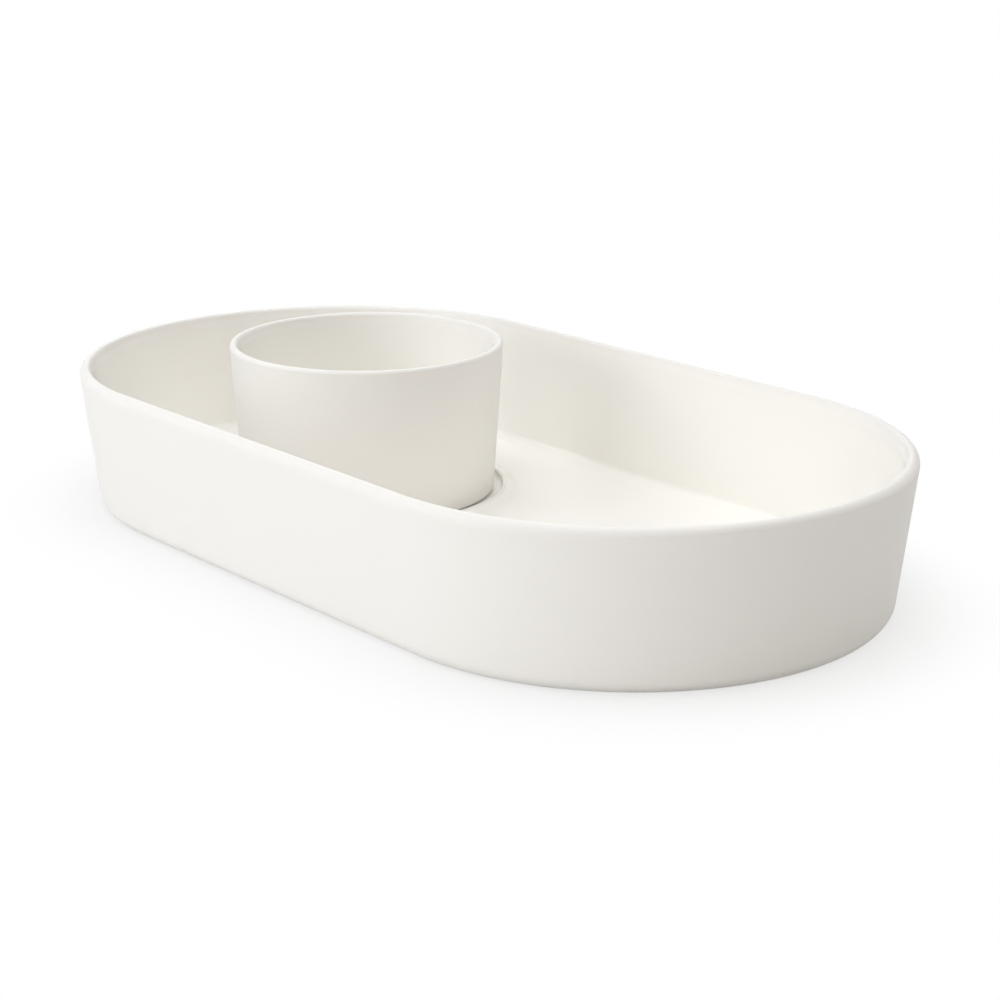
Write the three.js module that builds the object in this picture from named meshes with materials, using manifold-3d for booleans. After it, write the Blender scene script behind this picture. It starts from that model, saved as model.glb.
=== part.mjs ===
// Chip and dip bowl: a long ceramic bowl with straight sides and round ends, and a separate
// round dip cup that stands inside a low ring on the bowl's floor.
// Millimetres, +Z up. The origin is the middle of the bowl's outline, on the table.
// +X runs along the bowl, from the cup's end to the chip end.

import * as THREE from 'three';
import { mergeVertices } from 'three/addons/utils/BufferGeometryUtils.js';
import Module from 'manifold-3d';

// Bowl, outside. Lengths and widths are taken at the rim, before its edges are rounded.
const BOWL_LENGTH = 368.3;
const BOWL_WIDTH = 200;
const BOWL_HEIGHT = 56.1;
const BOWL_LEAN = 6.4; // how far each wall leans out between the table and the rim
const BOWL_BASE_ROUND = 5.7;

// Bowl, wall and rim
const BOWL_WALL = 4.5;
const BOWL_RIM_OUTER_ROUND = 3;
const BOWL_RIM_INNER_ROUND = 1.4;

// Bowl, floor and foot
const BOWL_FLOOR = 4.7; // thickness of the ceramic under the chips
const BOWL_FLOOR_FILLET = 3.5;
const BOWL_FOOT_HEIGHT = 2; // how far the foot rim lifts the underside off the table
const BOWL_FOOT_WIDTH = 5;
const BOWL_FOOT_FILLET = 1.5;

// Dip cup, outside
const CUP_RIM_DIAMETER = 106.5;
const CUP_HEIGHT = 59.5;
const CUP_LEAN = 4;
const CUP_FOOT_ROUND = 2;

// Dip cup, wall, floor and foot
const CUP_WALL = 3.1;
const CUP_RIM_ROUND = 1.4;
const CUP_FLOOR = 4.5;
const CUP_FLOOR_FILLET = 8;
const CUP_FOOT_HEIGHT = 1.2;
const CUP_FOOT_WIDTH = 4;
const CUP_FOOT_FILLET = 1;

// Where the cup stands, and the ring that keeps it there
const CUP_AXIS_FROM_END = 122.1; // from the outermost point of the bowl's rim at the cup's end
const CUP_REST_GAP = 0.3; // hairline between the cup's foot and the bowl's floor
const RING_CLEARANCE = 3.3; // room between the cup's side and the ring, all the way round
const RING_HEIGHT = 2.9; // before its crest is rounded
const RING_WIDTH = 6.5;
const RING_CREST_ROUND = 0.8;

// Fineness of the round surfaces
const BOWL_END_STEPS = 36; // facets round each half-circle end
const CUP_STEPS = 72; // facets round the cup and its ring
const ARC_STEP = Math.PI / 10; // largest turn between two points of a rounded corner

// Sizes that follow from the ones above
const bowlEndCentre = (BOWL_LENGTH - BOWL_WIDTH) / 2;
const bowlFloorTop = BOWL_FOOT_HEIGHT + BOWL_FLOOR;
const cupAxisX = CUP_AXIS_FROM_END - BOWL_LENGTH / 2;
const cupRimRadius = CUP_RIM_DIAMETER / 2;
const cupFootZ = bowlFloorTop + CUP_REST_GAP;

const wasm = await Module();
wasm.setup();

// One corner of a profile: its distance from the middle, its height and its rounding.
function corner(radius, height, round = 0) {
  return { at: new THREE.Vector2(radius, height), round };
}

// Half the angle between the two sides that meet at a corner.
function halfAngle(corners, index) {
  const { at } = corners[index];
  const back = corners[index - 1].at.clone().sub(at).normalize();
  const ahead = corners[index + 1].at.clone().sub(at).normalize();
  return Math.acos(back.dot(ahead)) / 2;
}

// How far a corner's rounding runs along each of its two sides.
function reach(corners, index) {
  const { round } = corners[index];
  return round === 0 ? 0 : round / Math.tan(halfAngle(corners, index));
}

// A corner's rounding, eased where it and its neighbour's would overrun the side between them.
function easedRound(corners, index) {
  const own = reach(corners, index);
  const room = [index - 1, index + 1].map((neighbour) => {
    const side = corners[index].at.distanceTo(corners[neighbour].at);
    return side / (own + reach(corners, neighbour));
  });
  return corners[index].round * Math.min(1, ...room);
}

// The arc that rounds a corner and touches both of its sides.
function roundedCorner(corners, index) {
  const { at } = corners[index];
  const back = corners[index - 1].at.clone().sub(at).normalize();
  const ahead = corners[index + 1].at.clone().sub(at).normalize();
  const half = halfAngle(corners, index);
  const round = easedRound(corners, index);
  const towardsCentre = back.clone().add(ahead).normalize();
  const centre = at.clone().addScaledVector(towardsCentre, round / Math.sin(half));
  const start = at.clone().addScaledVector(back, round / Math.tan(half));
  const turn = Math.sign(ahead.cross(back)) * (Math.PI - 2 * half);
  const steps = Math.ceil(Math.abs(turn) / ARC_STEP);
  const points = [];
  for (let step = 0; step <= steps; step += 1) {
    points.push(start.clone().rotateAround(centre, (turn * step) / steps));
  }
  return points;
}

// A profile's points, with each corner that has a rounding replaced by its arc.
function roundedProfile(corners) {
  return corners.flatMap(({ at, round }, index) => (round === 0 ? [at] : roundedCorner(corners, index)));
}

// The geometry with shared vertices merged and the triangles that collapse on the middle line left out.
function welded(geometry) {
  geometry.deleteAttribute('normal');
  geometry.deleteAttribute('uv');
  const merged = mergeVertices(geometry);
  const { array } = merged.index;
  const kept = [];
  for (let start = 0; start < array.length; start += 3) {
    const [a, b, c] = array.slice(start, start + 3);
    if (a !== b && b !== c && c !== a) {
      kept.push(a, b, c);
    }
  }
  merged.setIndex(kept);
  return merged;
}

// Sweeps a profile round a half circle at each end and along the straight runs between them.
// The profile starts and ends on the middle line, so the body is closed.
function sweptBody(profile, endCentre, endSteps) {
  const stations = [];
  for (const end of [1, -1]) {
    for (let step = 0; step <= endSteps; step += 1) {
      const angle = Math.PI * (step / endSteps - end / 2);
      stations.push({ centre: end * endCentre, outX: Math.cos(angle), outY: Math.sin(angle) });
    }
  }
  const positions = stations.flatMap(({ centre, outX, outY }) =>
    profile.flatMap(({ x: radius, y: height }) => [centre + radius * outX, radius * outY, height]),
  );
  const index = [];
  for (let station = 0; station < stations.length; station += 1) {
    const here = station * profile.length;
    const next = ((station + 1) % stations.length) * profile.length;
    for (let row = 0; row + 1 < profile.length; row += 1) {
      index.push(here + row, next + row, next + row + 1);
      index.push(here + row, next + row + 1, here + row + 1);
    }
  }
  const geometry = new THREE.BufferGeometry();
  geometry.setAttribute('position', new THREE.Float32BufferAttribute(positions, 3));
  geometry.setIndex(index);
  return welded(geometry);
}

// Turns a profile about the vertical axis.
function turnedBody(profile, steps) {
  const geometry = new THREE.LatheGeometry(profile, steps);
  geometry.rotateX(Math.PI / 2);
  return welded(geometry);
}

function solidFrom(geometry) {
  const mesh = new wasm.Mesh({
    numProp: 3,
    vertProperties: geometry.attributes.position.array,
    triVerts: new Uint32Array(geometry.index.array),
  });
  return new wasm.Manifold(mesh);
}

function geometryFrom(solid) {
  const { vertProperties, triVerts } = solid.getMesh();
  const geometry = new THREE.BufferGeometry();
  geometry.setAttribute('position', new THREE.BufferAttribute(vertProperties, 3));
  geometry.setIndex(new THREE.BufferAttribute(triVerts, 1));
  geometry.computeVertexNormals();
  return geometry;
}

// How far the rounding at the foot of a leaning wall runs in along the table.
function footReach(round, lean, height) {
  return round / Math.tan((Math.PI / 2 + Math.atan2(lean, height)) / 2);
}

// The bowl's profile, from the middle of the underside out over the rim to the middle of the floor.
function bowlProfile() {
  const rimOutside = BOWL_WIDTH / 2;
  const baseOutside = rimOutside - BOWL_LEAN;
  const floorInside = baseOutside - BOWL_WALL + (BOWL_LEAN * bowlFloorTop) / BOWL_HEIGHT;
  const footOutside = baseOutside - footReach(BOWL_BASE_ROUND, BOWL_LEAN, BOWL_HEIGHT);
  const footInside = footOutside - BOWL_FOOT_WIDTH;
  const recessEdge = footInside - BOWL_FOOT_HEIGHT;
  return roundedProfile([
    corner(0, BOWL_FOOT_HEIGHT),
    corner(recessEdge, BOWL_FOOT_HEIGHT, BOWL_FOOT_FILLET),
    corner(footInside, 0),
    corner(baseOutside, 0, BOWL_BASE_ROUND),
    corner(rimOutside, BOWL_HEIGHT, BOWL_RIM_OUTER_ROUND),
    corner(rimOutside - BOWL_WALL, BOWL_HEIGHT, BOWL_RIM_INNER_ROUND),
    corner(floorInside, bowlFloorTop, BOWL_FLOOR_FILLET),
    corner(0, bowlFloorTop),
  ]);
}

// How far the cup's side stands from its axis at a height above its foot.
function cupSideRadius(height) {
  return cupRimRadius - CUP_LEAN * (1 - height / CUP_HEIGHT);
}

// The ring: a steep side towards the cup, a rounded crest and a long gentle slope outwards.
// Its root runs halfway into the floor, so that the two become one body.
function ringProfile() {
  const top = bowlFloorTop + RING_HEIGHT;
  const root = bowlFloorTop - BOWL_FLOOR / 2;
  const inside = cupSideRadius(top - cupFootZ) + RING_CLEARANCE;
  const outside = inside + RING_WIDTH;
  const start = corner(inside, root);
  return roundedProfile([
    start,
    corner(outside, root),
    corner(outside, bowlFloorTop),
    corner(inside, top, RING_CREST_ROUND),
    start,
  ]);
}

// The cup's profile, from the middle of the underside out over the rim to the middle of the floor.
function cupProfile() {
  const footOutside = cupSideRadius(0) - footReach(CUP_FOOT_ROUND, CUP_LEAN, CUP_HEIGHT);
  const footInside = footOutside - CUP_FOOT_WIDTH;
  const recessEdge = footInside - CUP_FOOT_HEIGHT;
  const floorTop = CUP_FOOT_HEIGHT + CUP_FLOOR;
  return roundedProfile([
    corner(0, CUP_FOOT_HEIGHT),
    corner(recessEdge, CUP_FOOT_HEIGHT, CUP_FOOT_FILLET),
    corner(footInside, 0),
    corner(cupSideRadius(0), 0, CUP_FOOT_ROUND),
    corner(cupRimRadius, CUP_HEIGHT, CUP_RIM_ROUND),
    corner(cupRimRadius - CUP_WALL, CUP_HEIGHT, CUP_RIM_ROUND),
    corner(cupSideRadius(floorTop) - CUP_WALL, floorTop, CUP_FLOOR_FILLET),
    corner(0, floorTop),
  ]);
}

function chipBowl() {
  const shell = sweptBody(bowlProfile(), bowlEndCentre, BOWL_END_STEPS);
  const ring = turnedBody(ringProfile(), CUP_STEPS);
  ring.translate(cupAxisX, 0, 0);
  const glaze = new THREE.MeshStandardMaterial({ color: 0xf4f2ec, roughness: 0.25, metalness: 0 });
  const mesh = new THREE.Mesh(geometryFrom(solidFrom(shell).add(solidFrom(ring))), glaze);
  mesh.name = 'chip_bowl';
  return mesh;
}

function dipCup() {
  const cup = turnedBody(cupProfile(), CUP_STEPS);
  cup.computeVertexNormals();
  const glaze = new THREE.MeshStandardMaterial({ color: 0xf2efe7, roughness: 0.3, metalness: 0 });
  const mesh = new THREE.Mesh(cup, glaze);
  mesh.name = 'dip_cup';
  mesh.position.set(cupAxisX, 0, cupFootZ);
  return mesh;
}

const chipAndDipBowl = new THREE.Group();
chipAndDipBowl.name = 'chip_and_dip_bowl';
chipAndDipBowl.add(chipBowl(), dipCup());

export default chipAndDipBowl;
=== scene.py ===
# %% [markdown]
# # A white chip and dip bowl
# The object is two pieces of glazed ceramic: a long bowl with straight sides and round ends, and a
# round dip cup that stands inside a low ring on the bowl's floor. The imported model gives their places
# and outer sizes. This lesson rebuilds both pieces as fine meshes, gives them their glaze, and lights
# them on a white table.

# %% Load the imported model
import math
from collections import namedtuple

import bpy
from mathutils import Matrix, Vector


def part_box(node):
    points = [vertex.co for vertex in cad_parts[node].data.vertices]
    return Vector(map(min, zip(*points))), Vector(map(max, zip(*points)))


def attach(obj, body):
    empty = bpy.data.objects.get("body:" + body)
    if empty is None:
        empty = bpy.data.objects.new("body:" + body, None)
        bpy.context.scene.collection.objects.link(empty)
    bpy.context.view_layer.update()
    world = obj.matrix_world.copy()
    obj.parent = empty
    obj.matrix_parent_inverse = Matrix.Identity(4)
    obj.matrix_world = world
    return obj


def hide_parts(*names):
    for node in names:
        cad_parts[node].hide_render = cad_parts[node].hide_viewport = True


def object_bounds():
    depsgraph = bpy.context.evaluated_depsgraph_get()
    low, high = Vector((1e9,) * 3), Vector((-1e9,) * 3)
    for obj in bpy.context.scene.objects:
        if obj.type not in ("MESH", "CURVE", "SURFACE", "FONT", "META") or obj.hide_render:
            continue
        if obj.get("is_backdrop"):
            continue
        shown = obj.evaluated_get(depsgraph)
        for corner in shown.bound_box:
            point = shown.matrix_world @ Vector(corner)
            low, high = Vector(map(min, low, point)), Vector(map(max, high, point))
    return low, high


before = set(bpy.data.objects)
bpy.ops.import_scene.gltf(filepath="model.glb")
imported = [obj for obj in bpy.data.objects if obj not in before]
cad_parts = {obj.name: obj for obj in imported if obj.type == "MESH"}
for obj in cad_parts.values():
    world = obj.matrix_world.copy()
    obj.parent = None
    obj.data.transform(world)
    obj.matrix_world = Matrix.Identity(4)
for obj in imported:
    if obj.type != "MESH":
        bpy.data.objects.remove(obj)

MM = 0.001

cad_low, cad_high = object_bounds()
bowl_low, bowl_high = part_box("chip_bowl")
cup_low, cup_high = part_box("dip_cup")
print("bowl, mm:", [round(side / MM, 1) for side in bowl_high - bowl_low])
print("cup, mm:", [round(side / MM, 1) for side in cup_high - cup_low])

# %% [markdown]
# ## Nodes as Python
# Both the shapes and the finishes are node trees. Placing nodes one by one fills pages, so two small
# classes do the wiring. A `Wire` is an output socket that can be added and multiplied like a number,
# and each such step adds a Math node. A `Bench` is a tree, and its one method adds any other node.


# %% A wire that does sums
class Wire:
    """An output socket, with the sums and products that the trees below write as Python."""

    def __init__(self, bench, socket):
        self.bench = bench
        self.socket = socket

    def __getitem__(self, output):
        return Wire(self.bench, self.socket.node.outputs[output])

    def math(self, operation, other=0.0):
        """This wire and another value, put through a Math node."""
        sockets = {"Value": self, "Value_001": other}
        return self.bench.node("ShaderNodeMath", {"operation": operation}, sockets)

    def __add__(self, other):
        return self.math("ADD", other)

    def __sub__(self, other):
        return self.math("SUBTRACT", other)

    def __rsub__(self, other):
        sockets = {"Value": other, "Value_001": self}
        return self.bench.node("ShaderNodeMath", {"operation": "SUBTRACT"}, sockets)

    def __mul__(self, other):
        return self.math("MULTIPLY", other)

    __radd__ = __add__
    __rmul__ = __mul__


# %% A bench that adds nodes
class Bench:
    """A node tree to work on."""

    def __init__(self, tree):
        self.tree = tree

    def node(self, kind, settings=None, sockets=None):
        """Adds a node, sets its properties first and then its sockets, by identifier or by name."""
        made = self.tree.nodes.new(kind)
        for name, value in (settings or {}).items():
            setattr(made, name, value)
        by_key = {socket.name: socket for socket in made.inputs}
        by_key |= {socket.identifier: socket for socket in made.inputs}
        for key, value in (sockets or {}).items():
            for each in value if isinstance(value, list) else [value]:
                if isinstance(each, Wire):
                    self.tree.links.new(each.socket, by_key[key])
                else:
                    by_key[key].default_value = each
        shown = [socket for socket in made.outputs if socket.enabled]
        return Wire(self, shown[0]) if shown else made


def geometry_tree(name, inputs):
    """A new Geometry Nodes tree with named inputs, as a bench and the wires of its inputs."""
    tree = bpy.data.node_groups.new(name, "GeometryNodeTree")
    tree.interface.new_socket("Geometry", in_out="OUTPUT", socket_type="NodeSocketGeometry")
    for label, kind in inputs.items():
        tree.interface.new_socket(label, in_out="INPUT", socket_type=kind)
    bench = Bench(tree)
    first = bench.node("NodeGroupInput")
    return bench, {label: first[label] for label in inputs}


def finish_tree(bench, geometry):
    bench.node("NodeGroupOutput", sockets={"Geometry": geometry})
    print("tree", bench.tree.name, "has", len(bench.tree.nodes), "nodes")
    return bench.tree


# %% [markdown]
# ## One rule for both pieces
# The real bowl is pressed or cast in a mould, and the cup is turned or cast, but both follow one rule:
# an outline, a few corners with roundings, is carried round a path. For the cup the path is a circle.
# For the bowl it is a circle cut in two with the halves slid apart. Modelling the walls by hand and
# bevelling them would work too, but a tree that rounds the corners and sweeps them keeps every size
# in view, and one tree serves both pieces.

# %% A tree that sweeps an outline round a slid-apart circle
FLOAT = "NodeSocketFloat"
VECTOR = "NodeSocketVector"
GEOMETRY = "NodeSocketGeometry"
WHOLE = "NodeSocketInt"
FINE_CIRCLE = 4002  # even, but no multiple of four, so that no point lies on the cut


def swept_band_tree():
    inputs = {"Outline": GEOMETRY, "Radius": FLOAT, "Slide": FLOAT}
    inputs |= {"Points around": WHOLE, "Points per round": WHOLE}
    bench, given = geometry_tree("Swept band", inputs)
    circle = bench.node(
        "GeometryNodeCurvePrimitiveCircle",
        sockets={"Resolution": FINE_CIRCLE, "Radius": given["Radius"]},
    )
    place = bench.node("GeometryNodeInputPosition")
    across = bench.node("ShaderNodeSeparateXYZ", sockets={"Vector": place})["X"]
    slide = bench.node("ShaderNodeCombineXYZ", sockets={"X": given["Slide"] * across.math("SIGN")})
    slid = bench.node("GeometryNodeSetPosition", sockets={"Geometry": circle, "Offset": slide})
    evenly = {"Curve": slid, "Count": given["Points around"]}
    path = bench.node("GeometryNodeResampleCurve", sockets=evenly)
    corners = bench.node("GeometryNodeMeshToCurve", sockets={"Mesh": given["Outline"]})
    rounds = bench.node("GeometryNodeInputNamedAttribute", {"data_type": "FLOAT"}, {"Name": "round"})
    outline = bench.node(
        "GeometryNodeFilletCurve",
        {"mode": "POLY"},
        {"Curve": corners, "Count": given["Points per round"], "Radius": rounds, "Limit Radius": True},
    )
    band = bench.node("GeometryNodeCurveToMesh", sockets={"Curve": path, "Profile Curve": outline})
    return finish_tree(bench, band)


swept_band = swept_band_tree()

# %% [markdown]
# ## Closing the bodies
# A swept band is open at the middle of the floor and of the underside. Filling those loops flat closes
# the body, and because the band already runs a little way along the flat, the glossy floor stays free
# of shading streaks. The ring on the bowl's floor is a second band, and the same fill leaves a hole
# for it. A union of two solids would join them as well, but it leaves slivers along the seam.

# %% A tree that closes a swept body
LEVEL = 0.05 * MM  # how near to a height a loop has to lie to count as part of it
SEAM = 0.005 * MM  # points nearer than this are one point
MID_DEPTH = 0.5  # glaze neither thin nor gathered


def ceramic_body_tree():
    inputs = {"Outline": GEOMETRY, "Radius": FLOAT, "Slide": FLOAT}
    inputs |= {"Points around": WHOLE, "Points per round": WHOLE}
    inputs |= {"Floor height": FLOAT, "Underside height": FLOAT, "Place": VECTOR}
    inputs |= {"Ring outline": "NodeSocketObject", "Ring radius": FLOAT, "Ring place": VECTOR}
    inputs |= {"Glaze": "NodeSocketMaterial"}
    bench, given = geometry_tree("Ceramic body", inputs)

    def band(outline, radius, slide):
        sockets = {"Outline": outline, "Radius": radius, "Slide": slide}
        sockets |= {label: given[label] for label in ("Points around", "Points per round")}
        return bench.node("GeometryNodeGroup", {"node_tree": swept_band}, sockets)

    def moved(geometry, by):
        return bench.node("GeometryNodeTransform", sockets={"Geometry": geometry, "Translation": by})

    ring_outline = bench.node("GeometryNodeObjectInfo", sockets={"Object": given["Ring outline"]})
    ring = moved(band(ring_outline["Geometry"], given["Ring radius"], 0.0), given["Ring place"])
    wall = band(given["Outline"], given["Radius"], given["Slide"])
    walls = bench.node("GeometryNodeJoinGeometry", sockets={"Geometry": [ring, wall]})

    def flat_fill(height):
        """The flat sheet between the open loops at one height, with the ring's loops as holes."""
        neighbours = bench.node("GeometryNodeInputMeshEdgeNeighbors")
        is_open = neighbours.math("COMPARE", 1.0)
        spot = bench.node("GeometryNodeInputPosition")
        place = bench.node("ShaderNodeSeparateXYZ", sockets={"Vector": spot})
        gap = (place["Z"] - height).math("ABSOLUTE")
        is_level = gap.math("LESS_THAN", LEVEL)
        chosen = {"Mesh": walls, "Selection": is_open * is_level}
        loops = bench.node("GeometryNodeMeshToCurve", sockets=chosen)
        sheet = bench.node("GeometryNodeFillCurve", sockets={"Curve": loops})
        lift = bench.node("ShaderNodeCombineXYZ", sockets={"Z": height})
        return bench.node("GeometryNodeSetPosition", sockets={"Geometry": sheet, "Offset": lift})

    def marked(geometry, label, value):
        return bench.node(
            "GeometryNodeStoreNamedAttribute",
            {"data_type": "FLOAT", "domain": "POINT"},
            {"Geometry": geometry, "Name": label, "Value": value},
        )

    floor = marked(marked(flat_fill(given["Floor height"]), "inside", 1.0), "depth", MID_DEPTH)
    sheet = marked(flat_fill(given["Underside height"]), "depth", MID_DEPTH)
    underside = bench.node("GeometryNodeFlipFaces", sockets={"Mesh": sheet})
    whole = bench.node("GeometryNodeJoinGeometry", sockets={"Geometry": [walls, floor, underside]})
    closed = bench.node("GeometryNodeMergeByDistance", sockets={"Geometry": whole, "Distance": SEAM})
    corners = bench.node("GeometryNodeInputMeshVertexNeighbors")
    loose = corners["Face Count"].math("COMPARE", 0.0)
    clean = bench.node("GeometryNodeDeleteGeometry", sockets={"Geometry": closed, "Selection": loose})
    normal = bench.node("GeometryNodeInputNormal")
    facing = bench.node("ShaderNodeSeparateXYZ", sockets={"Vector": normal})
    turned = marked(moved(clean, given["Place"]), "upward", facing["Z"])
    smooth = bench.node("GeometryNodeSetShadeSmooth", sockets={"Geometry": turned})
    real = bench.node("GeometryNodeRealizeInstances", sockets={"Geometry": smooth})
    coated = {"Geometry": real, "Material": given["Glaze"]}
    glazed = bench.node("GeometryNodeSetMaterial", sockets=coated)
    return finish_tree(bench, glazed)


ceramic_body = ceramic_body_tree()

# %% [markdown]
# ## From corners to a mesh
# An outline starts as a chain of corners, listed from the floor over the rim to the underside. Each
# corner also says how round it is and two things that the glaze needs: whether it lies inside, where
# food goes, and how deep the glaze gathers there. Stored as attributes, these travel through the
# rounding and the sweep, so the finish follows the shape without any painting.

# %% Corners and outlines
# Where an edge with this depth faces half up, the glaze also paints it darker, as painted shade.
THIN_DEPTH = 0.0  # glaze that runs thin over an edge
FULL_DEPTH = 1.0  # glaze that gathers in a corner

Corner = namedtuple("Corner", "out up round inside depth", defaults=(0.0, 0.0, MID_DEPTH))


def outline_object(name, corners, radius):
    """A chain of corners as a mesh. The sweep takes x outwards from its path and y downwards."""
    mesh = bpy.data.meshes.new(name)
    points = [(corner.out - radius, -corner.up, 0.0) for corner in corners]
    mesh.from_pydata(points, [(i, i + 1) for i in range(len(points) - 1)], [])
    for label in ("round", "inside", "depth"):
        values = [getattr(corner, label) for corner in corners]
        mesh.attributes.new(label, "FLOAT", "POINT").data.foreach_set("value", values)
    made = bpy.data.objects.new(name, mesh)
    bpy.context.scene.collection.objects.link(made)
    print(name, "has", len(corners), "corners")
    return made


def run_tree(made, tree, values):
    """Runs a tree on an object and keeps the result as the object's plain mesh."""
    modifier = made.modifiers.new(tree.name, "NODES")
    modifier.node_group = tree
    inputs = [item for item in tree.interface.items_tree if item.in_out == "INPUT"]
    sockets = {item.name: item.identifier for item in inputs}
    for label, value in values.items():
        modifier[sockets[label]] = value
    made.update_tag()
    graph = bpy.context.evaluated_depsgraph_get()
    result = bpy.data.meshes.new_from_object(made.evaluated_get(graph))
    made.modifiers.remove(modifier)
    made.data = result
    if result.materials[0] is None:
        result.materials.pop(index=0)  # joining bare meshes leaves an empty slot
    print(made.name, "has", len(result.polygons), "faces in", [slot.name for slot in result.materials])
    return made


# %% [markdown]
# ## The glaze
# White ceramic is a pale body under a thin coat of glass. Inside, where food lies, the coat is glossy
# and a little creamier; outside it is a soft satin. The glaze runs thin over edges, gathers in corners,
# ripples like orange peel, and is wiped off the foot so that the piece doesn't stick to the kiln shelf.
# Where a rim's rounding faces half up, it is also painted darker: painted shade that holds down the
# light that falls most strongly there.
# A plain white shader would give the colour but none of this, so the marks from the outline and four
# sizes of noise steer one Principled shader.

# %% Small helpers for materials
NOISE_DETAIL = 2.0
NOISE_MEAN = 0.5


def new_material(name):
    material = bpy.data.materials.new(name)
    material.use_nodes = True
    material.node_tree.nodes.clear()
    return material, Bench(material.node_tree)


def noise(bench, place, size):
    """Soft noise about zero, with lumps of one size."""
    sockets = {"Vector": place, "Scale": 1 / size, "Detail": NOISE_DETAIL}
    return bench.node("ShaderNodeTexNoise", sockets=sockets)["Fac"] - NOISE_MEAN


def ramp(wire, low, high):
    """Rises smoothly from nought to one as the wire goes from low to high."""
    sockets = {"Value": wire, "From Min": low, "From Max": high}
    return wire.bench.node("ShaderNodeMapRange", {"interpolation_type": "SMOOTHSTEP"}, sockets)


def blend(bench, share, first, second):
    sockets = {"Factor_Float": share, "A_Color": first, "B_Color": second}
    return bench.node("ShaderNodeMix", {"data_type": "RGBA"}, sockets)


# %% The glaze's colours and textures
OUTSIDE_WHITE = (0.89, 0.875, 0.84, 1.0)
INSIDE_WHITE = (0.895, 0.882, 0.842, 1.0)
GATHERED_WHITE = (0.89, 0.877, 0.832, 1.0)
# The darker white below is partly thin glaze showing the body and partly painted shade, laid on the
# half-up rounding of the rims where the most light falls.
THIN_GLAZE_AND_SHADE_WHITE = (0.79, 0.778, 0.75, 1.0)
BARE_CLAY = (0.74, 0.69, 0.61, 1.0)
SATIN_ROUGHNESS = 0.55
SATIN_CLOUDS = 0.1
SATIN_PEEL = 0.05
BARE_ROUGHNESS = 0.85
BODY_SPECULAR = 0.25
COAT_ROUGHNESS = 0.06
COAT_OUTSIDE = 0.05
COAT_INSIDE = 0.9
CLOUD_SIZE = 45 * MM
WIPE_SIZE = 9 * MM
PEEL_SIZE = 2.4 * MM
GRAIN_SIZE = 0.4 * MM
BARE_HEIGHT = 0.25 * MM
GLAZE_HEIGHT = 0.4 * MM
# These two depths also bound the painted shade on the half-up rounding of the rims.
THIN_WHOLLY = 0.05  # up to this depth the glaze is wholly thin
THIN_NO_MORE = 0.3  # and from here no longer
GATHERING = 0.8  # from this depth it begins to gather
GATHERED_WHOLLY = 1.0  # and here it is wholly gathered
GATHER_CLOUDS = 0.1  # how far the clouds shift the edge of the gathered glaze
CLOUD_RELIEF = 0.04  # heights in millimetres
PEEL_RELIEF = 0.003
GRAIN_RELIEF = 0.02


def glaze_material(name, foot_z):
    material, bench = new_material(name)
    place = bench.node("ShaderNodeTexCoord")["Object"]
    height = bench.node("ShaderNodeSeparateXYZ", sockets={"Vector": place})["Z"] - foot_z
    inside = bench.node("ShaderNodeAttribute", {"attribute_name": "inside"})["Fac"]
    depth = bench.node("ShaderNodeAttribute", {"attribute_name": "depth"})["Fac"]
    upward = bench.node("ShaderNodeAttribute", {"attribute_name": "upward"})["Fac"]

    clouds = noise(bench, place, CLOUD_SIZE)
    peel = noise(bench, place, PEEL_SIZE)
    grain = noise(bench, place, GRAIN_SIZE)
    wiped = height + BARE_HEIGHT * noise(bench, place, WIPE_SIZE)
    bare = 1 - ramp(wiped, BARE_HEIGHT, GLAZE_HEIGHT)
    gathered = ramp(depth + GATHER_CLOUDS * clouds, GATHERING, GATHERED_WHOLLY)
    level = (1 - upward * upward).math("SQRT")
    # Painted shade: where the skin faces half up, as over a rim, this mask darkens the thin edge to dim
    # the light that falls there.
    half_up_shade = (2 * upward * level).math("MAXIMUM", 0.0)  # one where the skin faces half up, as over a rim
    thin_glaze_and_shade = half_up_shade * (1 - ramp(depth, THIN_WHOLLY, THIN_NO_MORE))

    colour = blend(bench, inside, OUTSIDE_WHITE, INSIDE_WHITE)
    colour = blend(bench, gathered, colour, GATHERED_WHITE)
    # Thin glaze and painted shade: the half-up rounding of the rims is blended towards the darker white.
    colour = blend(bench, thin_glaze_and_shade, colour, THIN_GLAZE_AND_SHADE_WHITE)
    colour = blend(bench, bare, colour, BARE_CLAY)
    satin = SATIN_ROUGHNESS + SATIN_CLOUDS * clouds + SATIN_PEEL * peel
    roughness = satin + (BARE_ROUGHNESS - satin) * bare
    coat = (COAT_OUTSIDE + (COAT_INSIDE - COAT_OUTSIDE) * inside) * (1 - bare)
    relief = (1 - bare) * (CLOUD_RELIEF * clouds + PEEL_RELIEF * peel) + bare * (GRAIN_RELIEF * grain)
    bump = bench.node("ShaderNodeBump", sockets={"Height": relief, "Distance": MM})

    shader = bench.node(
        "ShaderNodeBsdfPrincipled",
        sockets={
            "Base Color": colour,
            "Roughness": roughness,
            "Specular IOR Level": BODY_SPECULAR,
            "Coat Weight": coat,
            "Coat Roughness": COAT_ROUGHNESS,
            "Normal": bump,
        },
    )
    bench.node("ShaderNodeOutputMaterial", sockets={"Surface": shader})
    print("material", name, "has", len(material.node_tree.nodes), "nodes")
    return material


# %% [markdown]
# ## The dip cup
# The cup is a plain round vessel: a thin wall that leans out a little, a fully rounded lip, a generous
# curve between wall and floor so that a spoon can reach the last of the dip, and a foot rim with a
# shallow recess inside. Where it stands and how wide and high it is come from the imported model, so only
# the sizes that a box can't give are written here.

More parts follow.
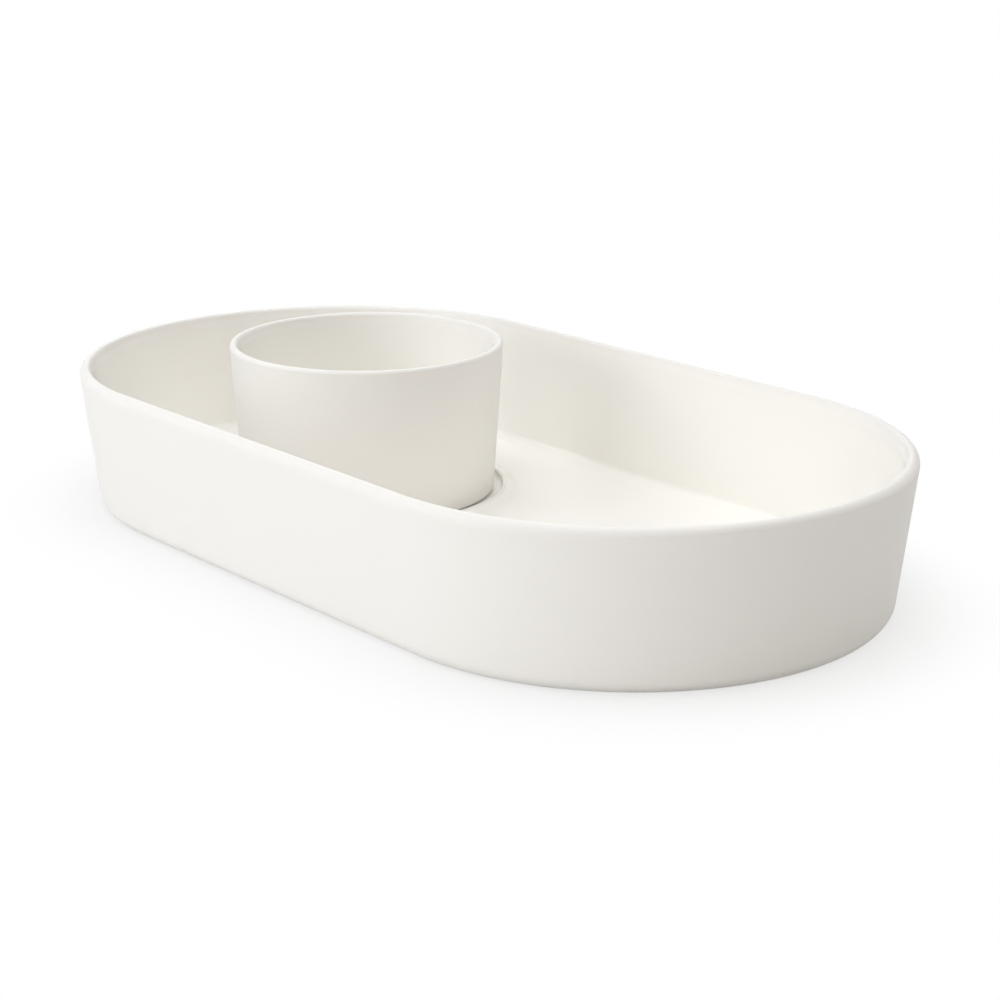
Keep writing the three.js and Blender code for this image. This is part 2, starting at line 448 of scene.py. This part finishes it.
# %% The cup's sizes
CUP_LEAN = 4.0 * MM
CUP_WALL = 3.1 * MM
CUP_RIM_ROUND = 1.4 * MM
CUP_FLOOR = 4.5 * MM
CUP_FLOOR_FILLET = 8.0 * MM
CUP_FOOT_ROUND = 2.0 * MM
CUP_FOOT_HEIGHT = 1.2 * MM
CUP_FOOT_WIDTH = 4.0 * MM
CUP_FOOT_EDGE = 0.3 * MM
CUP_FOOT_FILLET = 1.0 * MM
FLAT_RUN = 6.0 * MM  # how far a band runs along a flat before the fill takes over
GLOSS_DROP = 5.0 * MM  # how far below the satin rim the gloss inside is complete

cup_axis_x = (cup_low.x + cup_high.x) / 2
cup_foot_z = cup_low.z
cup_height = cup_high.z - cup_low.z
cup_floor_up = CUP_FOOT_HEIGHT + CUP_FLOOR


def rim_corner(half_width, lean, height, rounding):
    """How far out the rim's sharp corner would be, before the rounding takes it back to half_width."""
    slope = lean / height
    return half_width + rounding * (slope + math.hypot(1, slope) - 1)


def foot_reach(rounding, lean, height):
    """How far the rounding at the foot of a leaning wall runs in along the table."""
    return rounding / math.tan((math.pi / 2 + math.atan2(lean, height)) / 2)


cup_radius = rim_corner((cup_high.x - cup_low.x) / 2, CUP_LEAN, cup_height, CUP_RIM_ROUND)
print("cup rim corner, mm:", round(cup_radius / MM, 2))


# %% The cup's outline
def cup_side(height):
    """The cup's outside radius at a height above its foot."""
    return cup_radius - CUP_LEAN * (1 - height / cup_height)


def cup_corners():
    floor_edge = cup_side(cup_floor_up) - CUP_WALL
    gloss_up = cup_height - GLOSS_DROP
    foot_inside = cup_side(0) - foot_reach(CUP_FOOT_ROUND, CUP_LEAN, cup_height) - CUP_FOOT_WIDTH
    recess = foot_inside - CUP_FOOT_HEIGHT
    return [
        Corner(floor_edge - CUP_FLOOR_FILLET - FLAT_RUN, cup_floor_up, inside=1.0),
        Corner(floor_edge, cup_floor_up, CUP_FLOOR_FILLET, inside=1.0, depth=FULL_DEPTH),
        Corner(cup_side(gloss_up) - CUP_WALL, gloss_up, inside=1.0),
        Corner(cup_radius - CUP_WALL, cup_height, CUP_RIM_ROUND, depth=THIN_DEPTH),
        Corner(cup_radius, cup_height, CUP_RIM_ROUND, depth=THIN_DEPTH),
        Corner(cup_side(0), 0.0, CUP_FOOT_ROUND),
        Corner(foot_inside, 0.0, CUP_FOOT_EDGE, depth=THIN_DEPTH),
        Corner(recess, CUP_FOOT_HEIGHT, CUP_FOOT_FILLET, depth=FULL_DEPTH),
        Corner(recess - CUP_FOOT_FILLET - FLAT_RUN, CUP_FOOT_HEIGHT),
    ]


# %% The cup's mesh
POINTS_AROUND = 288
POINTS_PER_ROUND = 14

cup = outline_object("glazed_cup", cup_corners(), cup_radius)
run_tree(
    cup,
    ceramic_body,
    {
        "Radius": cup_radius,
        "Slide": 0.0,
        "Points around": POINTS_AROUND,
        "Points per round": POINTS_PER_ROUND,
        "Floor height": cup_floor_up,
        "Underside height": CUP_FOOT_HEIGHT,
        "Place": (cup_axis_x, 0.0, cup_foot_z),
        "Glaze": glaze_material("cup glaze", cup_foot_z),
    },
)

# %% [markdown]
# ## The bowl
# The bowl's outline starts on the floor, climbs the wall, turns over the rim and comes down outside to
# the foot rim that it stands on. The wall leans out, the rim is rounder outside than inside, and the
# wall turns to the table in a small curve, as a mould gives it.

# %% The bowl's sizes
BOWL_LEAN = 6.4 * MM
BOWL_WALL = 4.5 * MM
BOWL_RIM_OUTER_ROUND = 3.0 * MM
BOWL_RIM_INNER_ROUND = 1.4 * MM
BOWL_BASE_ROUND = 5.7 * MM
BOWL_FLOOR = 4.7 * MM
BOWL_FLOOR_FILLET = 3.5 * MM
BOWL_FOOT_HEIGHT = 2.0 * MM
BOWL_FOOT_WIDTH = 5.0 * MM
BOWL_FOOT_EDGE = 0.5 * MM
BOWL_FOOT_FILLET = 1.5 * MM

bowl_slide = bowl_high.x - bowl_high.y
bowl_height = bowl_high.z
bowl_floor_z = BOWL_FOOT_HEIGHT + BOWL_FLOOR
bowl_radius = rim_corner(bowl_high.y, BOWL_LEAN, bowl_height, BOWL_RIM_OUTER_ROUND)
bowl_foot = bowl_radius - BOWL_LEAN - foot_reach(BOWL_BASE_ROUND, BOWL_LEAN, bowl_height)
print("bowl rim corner and foot, mm:", round(bowl_radius / MM, 2), round(bowl_foot / MM, 2))


# %% The bowl's outline
def bowl_corners():
    base = bowl_radius - BOWL_LEAN
    gloss_z = bowl_height - GLOSS_DROP
    floor_edge = base - BOWL_WALL + BOWL_LEAN * bowl_floor_z / bowl_height
    foot_inside = bowl_foot - BOWL_FOOT_WIDTH
    recess = foot_inside - BOWL_FOOT_HEIGHT
    return [
        Corner(floor_edge - BOWL_FLOOR_FILLET - FLAT_RUN, bowl_floor_z, inside=1.0),
        Corner(floor_edge, bowl_floor_z, BOWL_FLOOR_FILLET, inside=1.0, depth=FULL_DEPTH),
        Corner(base - BOWL_WALL + BOWL_LEAN * gloss_z / bowl_height, gloss_z, inside=1.0),
        Corner(bowl_radius - BOWL_WALL, bowl_height, BOWL_RIM_INNER_ROUND, depth=THIN_DEPTH),
        Corner(bowl_radius, bowl_height, BOWL_RIM_OUTER_ROUND, depth=THIN_DEPTH),
        Corner(base, 0.0, BOWL_BASE_ROUND),
        Corner(foot_inside, 0.0, BOWL_FOOT_EDGE, depth=THIN_DEPTH),
        Corner(recess, BOWL_FOOT_HEIGHT, BOWL_FOOT_FILLET, depth=FULL_DEPTH),
        Corner(recess - BOWL_FOOT_FILLET - FLAT_RUN, BOWL_FOOT_HEIGHT),
    ]


# %% [markdown]
# ## The ring that keeps the cup in place
# A low ring rises from the bowl's floor round the foot of the cup. Towards the cup it is steep, and
# outwards it runs off in a long soft slope, so chips slide over it. It is part of the bowl, made in the
# same mould, so its outline goes into the bowl's tree and becomes part of the same skin.

# %% The ring's outline
RING_CLEARANCE = 3.3 * MM
RING_HEIGHT = 2.9 * MM
RING_WIDTH = 6.5 * MM
RING_CREST_ROUND = 0.8 * MM
RING_FOOT_FILLET = 6.0 * MM
RING_SEAT_FILLET = 1.7 * MM
RING_FOOT_DEPTH = 0.9  # the glaze gathers a little less at the end of the long slope

ring_top = bowl_floor_z + RING_HEIGHT
ring_inside = cup_side(ring_top - cup_foot_z) + RING_CLEARANCE
ring_outside = ring_inside + RING_WIDTH


def ring_corners():
    return [
        Corner(ring_inside - FLAT_RUN, bowl_floor_z, inside=1.0),
        Corner(ring_inside, bowl_floor_z, RING_SEAT_FILLET, inside=1.0, depth=FULL_DEPTH),
        Corner(ring_inside, ring_top, RING_CREST_ROUND, inside=1.0, depth=THIN_DEPTH),
        Corner(ring_outside, bowl_floor_z, RING_FOOT_FILLET, inside=1.0, depth=RING_FOOT_DEPTH),
        Corner(ring_outside + FLAT_RUN, bowl_floor_z, inside=1.0),
    ]


ring = outline_object("ring_outline", ring_corners(), ring_inside)

# %% The bowl's mesh
bowl = outline_object("glazed_bowl", bowl_corners(), bowl_radius)
run_tree(
    bowl,
    ceramic_body,
    {
        "Radius": bowl_radius,
        "Slide": bowl_slide,
        "Points around": POINTS_AROUND,
        "Points per round": POINTS_PER_ROUND,
        "Floor height": bowl_floor_z,
        "Underside height": BOWL_FOOT_HEIGHT,
        "Ring outline": ring,
        "Ring radius": ring_inside,
        "Ring place": (cup_axis_x, 0.0, 0.0),
        "Place": (0.0, 0.0, 0.0),
        "Glaze": glaze_material("bowl glaze", bowl_low.z),
    },
)
bpy.data.objects.remove(ring)

# %% [markdown]
# ## Pieces and bodies
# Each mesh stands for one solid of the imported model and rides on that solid's body, so that the cup
# goes up with its joint when it is lifted out of the ring, and the bowl stays on the table.

# %% Each piece stands for its solid
for piece, body, node, slot in (
    (bowl, "bowl", "chip_bowl", "bowl_glaze"),
    (cup, "cup", "dip_cup", "cup_glaze"),
):
    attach(piece, body)
    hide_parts(node)
    print(piece.name, "rides on", body)

# %% [markdown]
# ## The table and the room
# The picture has a pure white background with a thin shadow under the bowl. A plain white floor would
# come out grey, because a lamp that makes it white burns out the bowl. So the table mixes two things:
# a matt white that takes the shadow close to the bowl, and an even white further out. Only rays that
# see or mirror the table get the mix; the light it throws back on the bowl is that of matt white.

# %% White for the eye and for reflections
WHITE = (1.0, 1.0, 1.0, 1.0)


def seen_or_mirrored(bench):
    """One for rays that show the background, nought for those that carry its light."""
    path = bench.node("ShaderNodeLightPath")
    mirrored = path["Is Glossy Ray"].math("MAXIMUM", path["Is Transmission Ray"])
    return path["Is Camera Ray"].math("MAXIMUM", mirrored)


def pale_room():
    world = bpy.data.worlds.new("pale room")
    world.use_nodes = True
    world.node_tree.nodes.clear()
    bench = Bench(world.node_tree)
    seen = seen_or_mirrored(bench)
    sky = bench.node("ShaderNodeBackground", sockets={"Color": WHITE, "Strength": seen})
    bench.node("ShaderNodeOutputWorld", sockets={"Surface": sky})
    bpy.context.scene.world = world
    print("world", world.name)


pale_room()

# %% The table
HALF_TABLE = 8.0  # metres
TABLE_Z = -0.1 * MM
TABLE_WHITE = (0.75, 0.75, 0.75, 1.0)
SHADOW_SHARE = 0.3
SHADOW_REACH = 50 * MM


def white_table():
    mesh = bpy.data.meshes.new("table")
    signs = ((-1, -1), (1, -1), (1, 1), (-1, 1))
    corners = [(x * HALF_TABLE, y * HALF_TABLE, TABLE_Z) for x, y in signs]
    mesh.from_pydata(corners, [], [(0, 1, 2, 3)])
    made = bpy.data.objects.new("table", mesh)
    bpy.context.scene.collection.objects.link(made)
    material, bench = new_material("white table")
    mesh.materials.append(material)
    place = bench.node("ShaderNodeTexCoord")["Object"]
    spot = bench.node("ShaderNodeSeparateXYZ", sockets={"Vector": place})
    along = (spot["X"].math("ABSOLUTE") - bowl_slide).math("MAXIMUM", 0.0)
    away = (along * along + spot["Y"] * spot["Y"]).math("SQRT") - bowl_foot
    shadow = SHADOW_SHARE * (1 - ramp(away, 0.0, SHADOW_REACH))
    lit = bench.node("ShaderNodeBsdfDiffuse", sockets={"Color": TABLE_WHITE})
    even = bench.node("ShaderNodeEmission", sockets={"Color": WHITE, "Strength": 1.0})
    share = seen_or_mirrored(bench) * (1 - shadow)
    mixed = bench.node("ShaderNodeMixShader", sockets={"Fac": share, "Shader": lit, "Shader_001": even})
    bench.node("ShaderNodeOutputMaterial", sockets={"Surface": mixed})
    made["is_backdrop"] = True
    print("table, m:", 2 * HALF_TABLE)


white_table()

# %% [markdown]
# ## The camera
# The picture was taken from a little above the rim, slantwise along the bowl, with the chip end nearer
# than the cup. Tracing the rims and the foot in the picture gives the direction, the distance and the
# lens. Setting the camera by eye would do too, but then no line of the bowl falls quite in its place.

# %% The camera
CAMERA_AZIMUTH = math.radians(49.71)
CAMERA_ELEVATION = math.radians(16.92)
CAMERA_DISTANCE = 882.0 * MM
CAMERA_AIM = Vector((-31.9, 42.4, 0.0)) * MM
CAMERA_LENS = 79.39
SENSOR_WIDTH = 36.0


def direction(azimuth, elevation):
    """The way from the object to a place round it: azimuth 0 is in front, on the -Y side."""
    level = math.cos(elevation)
    return Vector((math.sin(azimuth) * level, -math.cos(azimuth) * level, math.sin(elevation)))


def place_and_aim(made, aim, toward, distance):
    made.location = aim + toward * distance
    made.rotation_euler = (-toward).to_track_quat("-Z", "Y").to_euler()
    bpy.context.scene.collection.objects.link(made)


lens = bpy.data.cameras.new("camera")
lens.lens = CAMERA_LENS
lens.sensor_width = SENSOR_WIDTH
camera = bpy.data.objects.new("camera", lens)
place_and_aim(camera, CAMERA_AIM, direction(CAMERA_AZIMUTH, CAMERA_ELEVATION), CAMERA_DISTANCE)
bpy.context.scene.camera = camera
bpy.context.scene.view_settings.view_transform = "Standard"
print("camera at, mm:", [round(part / MM) for part in camera.location])

# %% [markdown]
# ## The lamps
# Eight square softboxes light the set, each given as a photographer would say it: so far round from the
# camera, so high, so strong. Most of the light comes from the left and from above, which leaves the
# bowl's right end in half shade and draws its round shape. The three lamps that fill this shade are a
# little warm and the others a little cool, as the two sides in the picture are.

# %% The softboxes
SOFTBOX_SIDE = 1.0  # metres
SOFTBOX_DISTANCE = 1.6
COOL = (0.965, 0.977, 1.0)
WARM = (1.0, 0.962, 0.91)


def softbox(name, round_from_camera, elevation, watts, colour=COOL):
    lamp = bpy.data.lights.new(name, "AREA")
    lamp.color = colour
    lamp.shape = "SQUARE"
    lamp.size = SOFTBOX_SIDE
    lamp.energy = watts
    made = bpy.data.objects.new(name, lamp)
    azimuth = CAMERA_AZIMUTH + math.radians(round_from_camera)
    place_and_aim(made, Vector(), direction(azimuth, math.radians(elevation)), SOFTBOX_DISTANCE)
    print(name, "gives", watts, "W")


softbox("low left lamp", -60, 10, 9.5)
softbox("left lamp", -90, 35, 6.2)
softbox("high left lamp", -90, 60, 3.7)
softbox("front lamp", 0, 35, 8.7, WARM)
softbox("right lamp", 90, 35, 3.9, WARM)
softbox("low right lamp", 120, 12, 4.5, WARM)
softbox("back lamp", 180, 60, 3.3)
softbox("top lamp", 0, 90, 9.9)

# %% [markdown]
# ## Sizes
# The dressed pieces have to stay the size of the imported model. Both boxes are printed, so that
# anyone can compare them.

# %% The boxes before and after
low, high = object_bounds()
sizes = {"cad": [list(cad_low), list(cad_high)], "visual": [list(low), list(high)]}
for name, box in sizes.items():
    print(name, "box, mm:", [[round(value / MM, 2) for value in corner] for corner in box])
